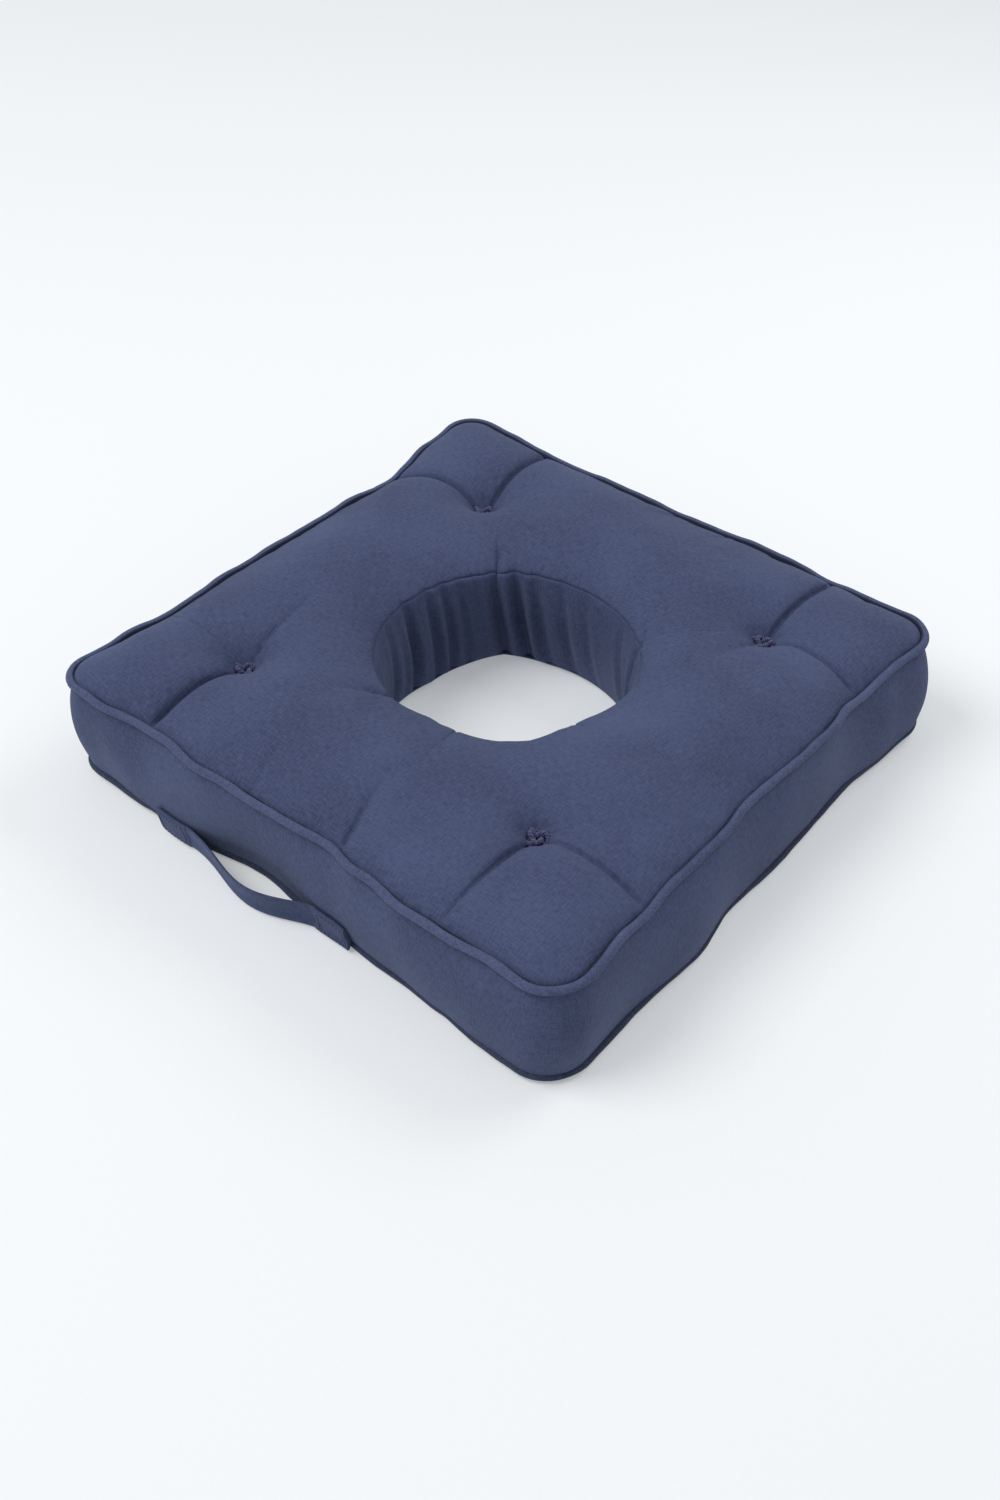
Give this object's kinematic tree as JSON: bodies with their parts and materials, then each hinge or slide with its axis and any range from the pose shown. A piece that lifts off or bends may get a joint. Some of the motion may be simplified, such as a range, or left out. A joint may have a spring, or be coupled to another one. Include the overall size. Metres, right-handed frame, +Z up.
{
  "type": "seat cushion",
  "caption": "Square tufted seat cushion with a round relief hole through the middle, piped edges and a fabric carrying strap.",
  "frame": {"origin": "on the floor plane, under the middle of the whole object's plan box, carrying strap included", "axes": "+Z up through the cushion's thickness; the carrying strap is on the -Y side; X runs along that side"},
  "size_m": [0.4, 0.4236, 0.0965],
  "materials": {
    "cotton_cover": "matte",
    "piping_cord": "matte",
    "fibre_fill": "matte",
    "tuft_yarn": "matte",
    "sewing_thread": "satin"
  },
  "bodies": {
    "cushion": {"top_panel": "cotton_cover", "bottom_panel": "cotton_cover", "side_band": "cotton_cover", "hole_band": "cotton_cover", "top_piping_cover": "cotton_cover", "top_piping_cord": "piping_cord", "bottom_piping_cover": "cotton_cover", "bottom_piping_cord": "piping_cord", "fibre_filling": "fibre_fill", "top_tuft_front_left": "tuft_yarn", "top_tuft_front_right": "tuft_yarn", "top_tuft_back_left": "tuft_yarn", "top_tuft_back_right": "tuft_yarn", "bottom_tuft_front_left": "tuft_yarn", "bottom_tuft_front_right": "tuft_yarn", "bottom_tuft_back_left": "tuft_yarn", "bottom_tuft_back_right": "tuft_yarn", "tuft_twine_front_left": "sewing_thread", "tuft_twine_front_right": "sewing_thread", "tuft_twine_back_left": "sewing_thread", "tuft_twine_back_right": "sewing_thread", "handle_end_left": "cotton_cover", "handle_end_right": "cotton_cover", "handle_stitching_left": "sewing_thread", "handle_stitching_right": "sewing_thread"},
    "handle": {"handle_loop": "cotton_cover"}
  },
  "joints": [
    {"name": "handle_swing", "type": "hinge", "parent": "cushion", "child": "handle", "pos_m": [-0.036, -0.19105, 0.0215], "axis": [-1, 0, 0], "range_deg": [0, 90]}
  ]
}
